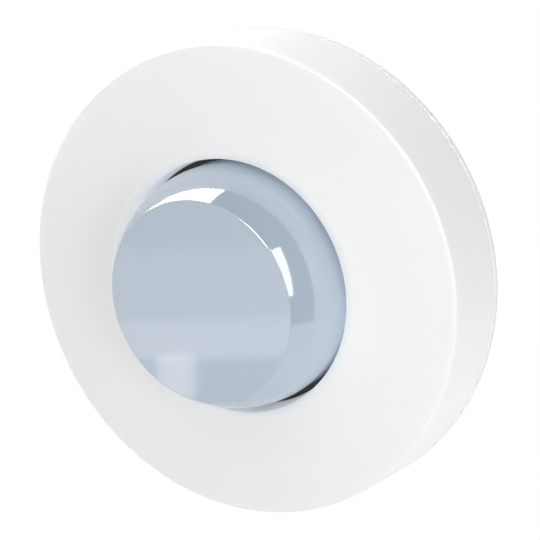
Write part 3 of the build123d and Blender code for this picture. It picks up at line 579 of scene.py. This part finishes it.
class DETECTOR_OT_cover_ring(bpy.types.Operator):
    """Cover ring with its flat front, rounded lip, collar, ribs and slit pegs"""
    bl_idname = "detector.cover_ring"
    bl_label = "Cover ring"

    def add_shell(self, sizes, material, inner_top, slope):
        """Front, rim, lip and collar, turned from one outline."""
        front = -COVER_LOW.y
        back = -COVER_HIGH.y
        back_radius = COVER_HIGH.x
        collar_radius = sizes.opening_radius + sizes.collar_wall
        lip_radius = (sizes.lip_width**2 + sizes.lip_drop**2) / (2 * sizes.lip_drop)
        lip_angle = math.asin(sizes.lip_width / lip_radius)
        lip_start = sizes.opening_radius + sizes.lip_width
        bm = bmesh.new()
        corners = outline(
            bm,
            [
                (sizes.opening_radius, sizes.collar_back),
                (collar_radius, sizes.collar_back),
                (collar_radius, sizes.cover_inside),
                (inner_top, sizes.cover_inside),
                (back_radius - sizes.cover_wall, back),
                (back_radius, back),
                (sizes.front_radius, front),
                (lip_start, front),
            ],
        )
        lip_end = arc(bm, corners[-1], lip_start, front - lip_radius, -lip_angle, LIP_STEPS)
        bm.edges.new((lip_end, corners[0]))
        rim_turn = math.pi / 2 - slope
        lip_turn = math.pi / 2 - lip_angle
        rim_reach = sizes.rim_fillet * math.tan(rim_turn / 2)
        lip_reach = sizes.lip_fillet * math.tan(lip_turn / 2)
        round_corners(bm, [(corners[6], rim_reach), (lip_end, lip_reach)], FILLET_STEPS)
        back_corners = [(corners[i], sizes.edge_softening) for i in (0, 1, 4, 5)]
        round_corners(bm, back_corners, SOFTENING_STEPS)
        turn(bm, TURN_STEPS)
        shell = piece("cover_shell", bm, material, "cover", "cover_ring")

    def add_ribs(self, sizes, material, inner_top, root):
        """Ribs under the front, from the collar to the outer wall."""
        start = sizes.opening_radius + sizes.collar_wall / 2
        end = inner_top + sizes.cover_wall / 2
        middle = (sizes.rib_back + root) / 2
        centre = Matrix.Translation(((start + end) / 2, -middle, 0))
        shape = Matrix.Diagonal((end - start, root - sizes.rib_back, sizes.rib_wall, 1))
        bm = bmesh.new()
        for index in range(RIB_COUNT):
            spot = Matrix.Rotation(-index * math.tau / RIB_COUNT, 4, "Y") @ centre
            rib = bmesh.ops.create_cube(bm, size=1.0, matrix=spot @ shape)
            edges = dict.fromkeys(e for v in rib["verts"] for e in v.link_edges)
            lower = [e for e in edges if all(v.co.y > -middle for v in e.verts)]
            bmesh.ops.bevel(
                bm,
                geom=lower,
                offset=sizes.edge_softening,
                offset_type="OFFSET",
                segments=2,
                profile=0.5,
                affect="EDGES",
                material=-1,
            )
        ribs = piece("cover_ribs", bm, material, "cover", "cover_ring")

    def add_peg_quarter(self, bm, sizes, place):
        """One of the four prongs that the cross slit leaves of a peg."""
        part = bmesh.new()
        half = sizes.peg_slit / 2
        reach = math.sqrt(sizes.peg_radius**2 - half**2)
        first = part.verts.new((reach, -sizes.peg_tip, half))
        sweep = math.atan2(reach, half) - math.atan2(half, reach)
        bmesh.ops.spin(
            part,
            geom=[first],
            cent=(0, 0, 0),
            axis=(0, 1, 0),
            angle=-sweep,
            steps=PRONG_STEPS,
        )
        ends = [v for v in part.verts if len(v.link_edges) == 1]
        inner = part.verts.new((half, -sizes.peg_tip, half))
        for end_vertex in ends:
            part.edges.new((end_vertex, inner))
        bmesh.ops.contextual_create(part, geom=part.edges[:])
        lifted = bmesh.ops.extrude_face_region(part, geom=part.faces[:])
        high = [v for v in lifted["geom"] if isinstance(v, bmesh.types.BMVert)]
        bmesh.ops.translate(part, verts=high, vec=(0, sizes.peg_tip - sizes.cover_inside, 0))
        part.transform(place)
        join_in(bm, part)

    def add_pegs(self, sizes, material, root):
        """Slit pegs on bosses, which spring in the housing's sleeves."""
        bm = bmesh.new()
        upright = Matrix.Rotation(math.pi / 2, 4, "X")
        for angle in PEG_ANGLES:
            spot = Matrix.Rotation(-math.radians(angle), 4, "Y")
            spot = spot @ Matrix.Translation((sizes.peg_circle, 0, 0))
            for quarter in range(4):
                place = spot @ Matrix.Rotation(quarter * math.pi / 2, 4, "Y")
                self.add_peg_quarter(bm, sizes, place)
            shank = (sizes.peg_radius, sizes.peg_tip + sizes.peg_slit_depth)
            boss = (sizes.peg_boss_radius, sizes.peg_boss_back)
            for radius, low in (shank, boss):
                bmesh.ops.create_cone(
                    bm,
                    cap_ends=True,
                    segments=PEG_STEPS,
                    radius1=radius,
                    radius2=radius,
                    depth=root - low,
                    matrix=spot @ Matrix.Translation((0, -(root + low) / 2, 0)) @ upright,
                )
        pegs = piece("cover_pegs", bm, material, "cover", "cover_ring")

    def execute(self, context):
        sizes, colours = settings()
        # Satin ABS: an even white with a soft sheen and a grain that the eye only just sees
        material = textured_plastic(
            "satin_white_abs",
            colours.cover,
            roughness=0.38,
            grain=0.0004,
            relief=0.000004,
            rounding=0,
            **ABS_GLOW,
        )
        front = -COVER_LOW.y
        flare = (COVER_HIGH.x - sizes.front_radius) / (front + COVER_HIGH.y)
        inner_top = sizes.front_radius + flare * (front - sizes.cover_inside) - sizes.cover_wall
        root = (sizes.cover_inside + front) / 2
        self.add_shell(sizes, material, inner_top, math.atan(flare))
        self.add_ribs(sizes, material, inner_top, root)
        self.add_pegs(sizes, material, root)
        return {"FINISHED"}


class DETECTOR_OT_lens(bpy.types.Operator):
    """Milky lens: ball zone with a flat front outside, facets and stepped grooves inside"""
    bl_idname = "detector.lens"
    bl_label = "Lens"

    def add_outside(self, bm, sizes, front, back):
        """Flange, ball zone and flat front, turned from one outline."""
        flange = LENS_HIGH.x
        angle = math.asin((front - sizes.lens_centre) / sizes.lens_radius)
        corners = outline(
            bm,
            [
                (flange, back),
                (flange, sizes.lens_skirt),
                (sizes.lens_radius, sizes.lens_skirt),
                (sizes.lens_radius, sizes.lens_centre),
            ],
        )
        edge = arc(bm, corners[-1], 0, sizes.lens_centre, -angle, BALL_STEPS)
        middle = bm.verts.new((0, -front, 0))
        bm.edges.new((edge, middle))
        edge_reach = sizes.lens_edge * math.tan((math.pi / 2 - angle) / 2)
        round_corners(bm, [(edge, edge_reach)], FILLET_STEPS)
        turn(bm, TURN_STEPS)

    def add_facets(self, bm, sizes, back):
        """Tiers of flat facets inside the ball zone."""
        inner_radius = sizes.lens_radius - sizes.lens_wall
        waist = (sizes.lens_centre + sizes.lens_inside) / 2
        tiers = [(sizes.lens_centre, inner_radius)]
        for height in (waist, sizes.lens_inside):
            above = height - sizes.lens_centre
            tiers.append((height, math.sqrt(inner_radius**2 - above**2)))
        level = Matrix.Translation((0, -back, 0)) @ Matrix.Rotation(-math.pi / 2, 4, "X")
        bmesh.ops.create_circle(bm, segments=LENS_FACETS, radius=inner_radius, matrix=level)
        edges = [e for e in bm.edges if e.is_wire]
        height, radius = back, inner_radius
        for next_height, next_radius in tiers:
            made = bmesh.ops.extrude_edge_only(bm, edges=edges)["geom"]
            tier = [v for v in made if isinstance(v, bmesh.types.BMVert)]
            edges = [e for e in made if isinstance(e, bmesh.types.BMEdge)]
            scale = next_radius / radius
            bmesh.ops.scale(bm, vec=(scale, 1, scale), verts=tier)
            bmesh.ops.translate(bm, vec=(0, height - next_height, 0), verts=tier)
            height, radius = next_height, next_radius

    def add_grooves(self, bm, sizes):
        """Stepped grooves inside the flat front, joined to the facets and the flange."""
        grooves = bmesh.new()
        points = [(0, sizes.lens_inside)]
        for index in range(1, GROOVE_COUNT + 1):
            points.append((index * sizes.groove_width, sizes.lens_inside + sizes.groove_depth))
            points.append((index * sizes.groove_width, sizes.lens_inside))
        outline(grooves, points)
        turn(grooves, GROOVE_STEPS)
        join_in(bm, grooves)
        bmesh.ops.remove_doubles(bm, verts=bm.verts[:], dist=MERGE_DISTANCE)
        open_edges = [e for e in bm.edges if len(e.link_faces) == 1]
        level = [
            e for e in open_edges if abs(e.verts[0].co.y + sizes.lens_inside) < LEVEL_DIFFERENCE
        ]
        bmesh.ops.bridge_loops(bm, edges=level)
        back_edges = [e for e in bm.edges if len(e.link_faces) == 1]
        bmesh.ops.bridge_loops(bm, edges=back_edges)

    def execute(self, context):
        sizes, colours = settings()
        # High-density polyethylene from a polished mould: milky, with a gloss that mirrors clearly
        material = polished_plastic(
            "milky_lens_polyethylene",
            colours.lens,
            roughness=0.06,
            waviness=0.006,
            relief=0.000001,
            rounding=0,
            IOR=LENS_INDEX,
        )
        front = -LENS_LOW.y
        back = -LENS_HIGH.y
        bm = bmesh.new()
        self.add_outside(bm, sizes, front, back)
        self.add_facets(bm, sizes, back)
        self.add_grooves(bm, sizes)
        obj = piece("lens_shell", bm, material, "base", "lens")
        return {"FINISHED"}


class DETECTOR_OT_plates(bpy.types.Operator):
    """Finishes of the mounting plate, the inner housing, the seat and the seal"""
    bl_idname = "detector.plates"
    bl_label = "Plate, housing and seat"

    def add_ejector_marks(self, material, spacing):
        """Shallow rings that the mould's ejector pins leave in a flat moulded floor."""
        tree, shader, place = insides(material)
        level = {0: place, 1: (1, 0, 1)}
        level = add_node(tree, "ShaderNodeVectorMath", level, operation="MULTIPLY").outputs[0]
        cells = {"Vector": level, "Scale": 1 / spacing, "Randomness": 0.35}
        cells = add_node(tree, "ShaderNodeTexVoronoi", cells).outputs["Distance"]
        beyond = past(tree, cells, EJECTOR_SHARE, blend=0.005)
        grain = shader.inputs["Normal"].links[0].from_socket
        rings = {"Height": beyond, "Strength": 0.7, "Distance": EJECTOR_DEPTH, "Normal": grain}
        rings = add_node(tree, "ShaderNodeBump", rings)
        tree.links.new(rings.outputs[0], shader.inputs["Normal"])

    def print_scale(self, material, dial):
        """Prints a ring of short grey strokes round a dial, open at its foot."""
        tree, shader, place = insides(material)
        low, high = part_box(dial)
        middle = (low + high) / 2
        radius, _ = away(tree, place, middle.x, middle.z)
        spot = {0: place, 1: middle}
        spot = add_node(tree, "ShaderNodeVectorMath", spot, operation="SUBTRACT").outputs[0]
        spot = add_node(tree, "ShaderNodeSeparateXYZ", {0: spot}).outputs
        angle = {0: spot["X"], 1: spot["Z"]}
        angle = add_node(tree, "ShaderNodeMath", angle, operation="ARCTAN2").outputs[0]
        steps = {0: angle, 1: SCALE_STEPS / math.tau}
        steps = add_node(tree, "ShaderNodeMath", steps, operation="MULTIPLY").outputs[0]
        step = {0: steps, 1: 0.5}
        step = add_node(tree, "ShaderNodeMath", step, operation="PINGPONG").outputs[0]
        height = add_node(tree, "ShaderNodeSeparateXYZ", {0: place}).outputs["Y"]
        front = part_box("inner_housing")[0].y + PRINT_DEPTH
        # A stroke lies at a whole step, on the ring, clear of its foot and on the housing's front
        limits = (
            ("LESS_THAN", {0: step, 1: SCALE_STROKE}),
            ("COMPARE", {0: radius, 1: SCALE_RADIUS, 2: SCALE_HALF_WIDTH}),
            ("COMPARE", {0: angle, 1: 0.0, 2: SCALE_SPAN}),
            ("LESS_THAN", {0: height, 1: front}),
        )
        mask = 1.0
        for operation, values in limits:
            part = add_node(tree, "ShaderNodeMath", values, operation=operation).outputs[0]
            mask = {0: mask, 1: part}
            mask = add_node(tree, "ShaderNodeMath", mask, operation="MULTIPLY").outputs[0]
        overlay(tree, shader, mask, Base_Color=linear("#5E6268"))

    def execute(self, context):
        _, colours = settings()
        # Matt ABS: chalkier than the cover, with a coarser grain and the marks of ejector pins
        white = textured_plastic(
            "matt_white_abs",
            colours.base,
            roughness=0.5,
            grain=0.0005,
            relief=0.000005,
            **ABS_GLOW,
        )
        self.add_ejector_marks(white, spacing=0.017)
        finish_node("base_plate", white)
        # Matt ABS in a light grey, as inner parts are moulded, with scales printed on it
        grey = textured_plastic(
            "matt_grey_abs", colours.housing, roughness=0.5, grain=0.0005, relief=0.00001
        )
        self.add_ejector_marks(grey, spacing=0.013)
        for dial in ("time_dial", "lux_dial"):
            self.print_scale(grey, dial)
        finish_node("inner_housing", grey)
        # Black PC and ABS blend: swallows light, with a weak grey sheen at flat angles
        dark = textured_plastic(
            "matt_black_blend",
            colours.black_plastic,
            roughness=0.6,
            grain=0.0004,
            relief=0.00001,
            tone=0.85,
        )
        for node in ("lens_seat", "sensor_carrier"):
            finish_node(node, dark)
        # Silicone rubber: dull brown-grey, painted lighter than the rubber itself as painted light, so
        # the shaded gap round the lens isn't black
        rubber = textured_plastic(
            "brown_silicone_rubber",
            colours.rubber,
            roughness=0.8,
            grain=0.0003,
            relief=0.00001,
            tone=0.7,
        )
        finish_node("lens_seal", rubber)
        return {"FINISHED"}


class DETECTOR_OT_board(bpy.types.Operator):
    """Finishes of the circuit board and the parts on it"""
    bl_idname = "detector.board"
    bl_label = "Board and its parts"

    def circuit_board(self, colours):
        """Solder mask over copper tracks, tinned pads and the bare laminate of the edge."""
        board = polished_plastic(
            "green_solder_mask",
            colours.solder_mask,
            roughness=0.25,
            waviness=0.002,
            relief=0.000008,
        )
        tree, shader, place = insides(board)
        laid = {"Vector": place, "Rotation": (math.pi / 2, 0, 0)}
        laid = add_node(tree, "ShaderNodeMapping", laid).outputs[0]
        tracks = {
            "Vector": laid,
            "Scale": 1.0,
            "Mortar Size": TRACK_EDGE,
            "Mortar Smooth": 0.2,
            "Brick Width": TRACK_LENGTH,
            "Row Height": TRACK_PITCH,
        }
        tracks = add_node(tree, "ShaderNodeTexBrick", tracks, offset=0.37).outputs["Fac"]
        overlay(tree, shader, tracks, Base_Color=linear("#1C7A48"), Roughness=0.2)
        pads = {"Vector": laid, "Scale": 1 / PAD_SPACING, "Randomness": 0.8}
        pads = add_node(tree, "ShaderNodeTexVoronoi", pads, voronoi_dimensions="2D")
        between = past(tree, pads.outputs["Distance"], PAD_SHARE, blend=0.012)
        tinned = {0: 1.0, 1: between}
        tinned = add_node(tree, "ShaderNodeMath", tinned, operation="SUBTRACT").outputs[0]
        overlay(tree, shader, tinned, Base_Color=linear("#C9C6BC"), Metallic=1.0, Roughness=0.3)
        _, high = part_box("circuit_board")
        radius, _ = away(tree, place, 0, 0)
        edge = past(tree, radius, high.x - BOARD_EDGE)
        overlay(tree, shader, edge, Base_Color=linear("#B9AE74"), Metallic=0.0, Roughness=0.65)
        return board

    def chip(self, node, half):
        """Moulding epoxy with tinned leads and a round mark in one corner."""
        chip = textured_plastic(
            f"{node}_epoxy",
            linear("#161617"),
            roughness=0.5,
            grain=0.0003,
            relief=0.000008,
            tone=0.85,
        )
        low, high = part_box(node)
        middle = (low + high) / 2
        tree, shader, place = insides(chip)
        _, square = away(tree, place, middle.x, middle.z)
        lead = past(tree, square, half)
        overlay(tree, shader, lead, Base_Color=linear("#C4C3BE"), Metallic=1.0, Roughness=0.35)
        offset = half * CHIP_MARK_PLACE
        radius, _ = away(tree, place, middle.x - offset, middle.z + offset)
        mark = {0: radius, 1: half * CHIP_MARK_RADIUS}
        mark = add_node(tree, "ShaderNodeMath", mark, operation="LESS_THAN").outputs[0]
        overlay(tree, shader, mark, Base_Color=linear("#26262A"), Roughness=0.2)
        return chip

    def capacitor_can(self):
        """Drawn aluminium on a black foot, with a dark segment that marks one pole."""
        can = plated_metal(
            "drawn_aluminium", linear("#D2D2D0"), roughness=0.22, line=0.0005, stretch=(1, 0.15, 1)
        )
        tree, shader, place = insides(can)
        low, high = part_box("capacitors")
        height = add_node(tree, "ShaderNodeSeparateXYZ", {0: place}).outputs["Y"]
        foot = past(tree, height, high.y - CAN_FOOT_HEIGHT)
        radius, _ = away(tree, place, 0, 0)
        segment = past(tree, radius, high.x - CAN_MARK_WIDTH)
        top = {0: height, 1: low.y + CAN_TOP_DEPTH}
        top = add_node(tree, "ShaderNodeMath", top, operation="LESS_THAN").outputs[0]
        mark = {0: segment, 1: top}
        mark = add_node(tree, "ShaderNodeMath", mark, operation="MULTIPLY").outputs[0]
        dark = {0: foot, 1: mark}
        dark = add_node(tree, "ShaderNodeMath", dark, operation="MAXIMUM").outputs[0]
        overlay(tree, shader, dark, Base_Color=linear("#1B1B1D"), Metallic=0.0, Roughness=0.45)
        return can

    def status_lamp(self):
        """White ceramic round a well of yellow phosphor."""
        lamp = polished_plastic(
            "lamp_ceramic", linear("#EFEBDD"), roughness=0.3, waviness=0.002, relief=0.000002
        )
        tree, shader, place = insides(lamp)
        radius, _ = away(tree, place, 0, 0)
        well = {0: radius, 1: LAMP_WELL_RADIUS}
        well = add_node(tree, "ShaderNodeMath", well, operation="LESS_THAN").outputs[0]
        overlay(tree, shader, well, Base_Color=linear("#E3C63F"), Roughness=0.5)
        return lamp

    def light_sensor(self):
        """Black epoxy with a clear, wine-dark dome."""
        sensor = textured_plastic(
            "optical_epoxy",
            linear("#161617"),
            roughness=0.45,
            grain=0.0003,
            relief=0.000006,
            tone=0.85,
        )
        tree, shader, place = insides(sensor)
        low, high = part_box("light_sensor")
        middle = (low + high) / 2
        radius, _ = away(tree, place, middle.x, middle.z)
        dome = {0: radius, 1: SENSOR_DOME_RADIUS}
        dome = add_node(tree, "ShaderNodeMath", dome, operation="LESS_THAN").outputs[0]
        overlay(tree, shader, dome, Base_Color=linear("#3B1A20"), Roughness=0.08)
        return sensor

    def execute(self, context):
        _, colours = settings()
        # Solder mask over laminate: glossy green, a lighter green where tracks run under it
        finish_node("circuit_board", self.circuit_board(colours))
        # Moulding epoxy: near black and finely matt, against bright tinned leads
        for node, half in CHIP_BODIES.items():
            finish_node(node, self.chip(node, half))
        # Glass-filled nylon of the switches: dark grey, dry and slightly cloudy
        nylon = textured_plastic(
            "black_switch_nylon",
            linear("#1E1E20"),
            roughness=0.5,
            grain=0.0003,
            relief=0.000008,
            tone=0.85,
        )
        for node in ("button_switch", "mode_switch"):
            finish_node(node, nylon)
        # Ferrite shield: dark grey-brown, with a coarse sintered grain
        ferrite = textured_plastic(
            "sintered_ferrite",
            linear("#2C2A29"),
            roughness=0.65,
            grain=0.0006,
            relief=0.00003,
            tone=0.7,
        )
        finish_node("coil", ferrite)
        # Zinc plating: a cool bright grey with duller spots
        zinc = plated_metal("zinc_plated_steel", colours.steel, roughness=0.28, line=0.0004)
        finish_node("board_screws", zinc)
        # Nickel plating: warmer and smoother than zinc, with lines from drawing the can
        nickel = plated_metal(
            "nickel_plated_can", linear("#C8C4BA"), roughness=0.18, line=0.0004, stretch=(1, 0.2, 1)
        )
        for node in ("crystal", "heat_sensor_1", "heat_sensor_2", "heat_sensor_3", "heat_sensor_4"):
            finish_node(node, nickel)
        # Drawn aluminium: bright cans with fine lines along them, on black feet
        finish_node("capacitors", self.capacitor_can())
        # Coated silicon filter: a dark violet mirror
        silicon = polished_plastic(
            "coated_silicon_filter",
            linear("#2A2630"),
            roughness=0.08,
            waviness=0.004,
            relief=0.000002,
            Metallic=0.6,
        )
        finish_node("sensor_windows", silicon)
        # Clear acrylic: lets the lamp's light through, with bright rims
        acrylic = polished_plastic(
            "clear_acrylic",
            linear("#F4F7F8"),
            roughness=0.05,
            waviness=0.004,
            relief=0.000002,
            IOR=1.49,
            Transmission_Weight=1.0,
        )
        finish_node("light_guide", acrylic)
        # Lamp: white ceramic that is slightly glossy, with a matt yellow well
        finish_node("status_lamp", self.status_lamp())
        # Optical package: dull black, with one small glossy dome
        finish_node("light_sensor", self.light_sensor())
        return {"FINISHED"}


class DETECTOR_OT_controls(bpy.types.Operator):
    """Finishes of the dials, the button, the mode switch and the terminal"""
    bl_idname = "detector.controls"
    bl_label = "Controls and terminal"

    def dial(self, node, colours):
        """Blue nylon whose pointer slot is filled with white paint."""
        dial = polished_plastic(
            f"{node}_nylon", colours.dial, roughness=0.25, waviness=0.002, relief=0.000004
        )
        tree, shader, place = insides(dial)
        low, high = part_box(node)
        middle = (low + high) / 2
        height = add_node(tree, "ShaderNodeSeparateXYZ", {0: place}).outputs["Y"]
        deep = past(tree, height, low.y + DIAL_SLOT_DEPTH)
        radius, _ = away(tree, place, middle.x, middle.z)
        near = {0: radius, 1: DIAL_SLOT_REACH}
        near = add_node(tree, "ShaderNodeMath", near, operation="LESS_THAN").outputs[0]
        paint = {0: deep, 1: near}
        paint = add_node(tree, "ShaderNodeMath", paint, operation="MULTIPLY").outputs[0]
        overlay(tree, shader, paint, Base_Color=linear("#E9E9E6"), Roughness=0.55)
        return dial

    def execute(self, context):
        _, colours = settings()
        # Dyed nylon: a smooth semi-gloss, with the slot picked out in white
        for node in ("time_dial", "lux_dial"):
            finish_node(node, self.dial(node, colours))
        # Moulded nylon of trimmers and terminal: dry, fine and slightly cloudy
        nylon = {"roughness": 0.45, "grain": 0.0004, "relief": 0.00001, "tone": 0.9}
        grey = textured_plastic("grey_trimmer_nylon", colours.grey_plastic, **nylon)
        for node in ("time_trimmer", "lux_trimmer", "terminal_negative"):
            finish_node(node, grey)
        finish_node("terminal_positive", textured_plastic("red_terminal_nylon", colours.red, **nylon))
        # Polished ABS: the button is the one bright glossy control
        red = polished_plastic(
            "red_button_abs", colours.red, roughness=0.2, waviness=0.003, relief=0.000004
        )
        finish_node("programming_button", red)
        # Acetal: a waxy off-white that slides well
        acetal = textured_plastic(
            "white_slider_acetal", linear("#E4E4E0"), roughness=0.35, grain=0.0004, relief=0.000006
        )
        finish_node("mode_slider", acetal)
        return {"FINISHED"}


class DETECTOR_PT_panel(bpy.types.Panel):
    """Lists the detector's steps, sizes and colours"""
    bl_idname = "DETECTOR_PT_panel"
    bl_label = "Presence detector"
    bl_space_type = "VIEW_3D"
    bl_region_type = "UI"
    bl_category = "Detector"

    def draw(self, context):
        for step in STEPS:
            self.layout.operator(step.bl_idname)
        for group in settings():
            box = self.layout.box()
            for name in group.__annotations__:
                box.prop(group, name)


STEPS = (
    DETECTOR_OT_stage,
    DETECTOR_OT_cover_ring,
    DETECTOR_OT_lens,
    DETECTOR_OT_plates,
    DETECTOR_OT_board,
    DETECTOR_OT_controls,
)
CLASSES = (DETECTOR_PG_sizes, DETECTOR_PG_colours, *STEPS, DETECTOR_PT_panel)


def register():
    for cls in CLASSES:
        bpy.utils.register_class(cls)
    bpy.types.Scene.detector_sizes = bpy.props.PointerProperty(type=DETECTOR_PG_sizes)
    bpy.types.Scene.detector_colours = bpy.props.PointerProperty(type=DETECTOR_PG_colours)


def unregister():
    del bpy.types.Scene.detector_colours
    del bpy.types.Scene.detector_sizes
    for cls in reversed(CLASSES):
        bpy.utils.unregister_class(cls)


def main():
    register()
    bpy.ops.detector.stage()
    bpy.ops.detector.cover_ring()
    bpy.ops.detector.lens()
    bpy.ops.detector.plates()
    bpy.ops.detector.board()
    bpy.ops.detector.controls()


if __name__ == "__main__":
    main()
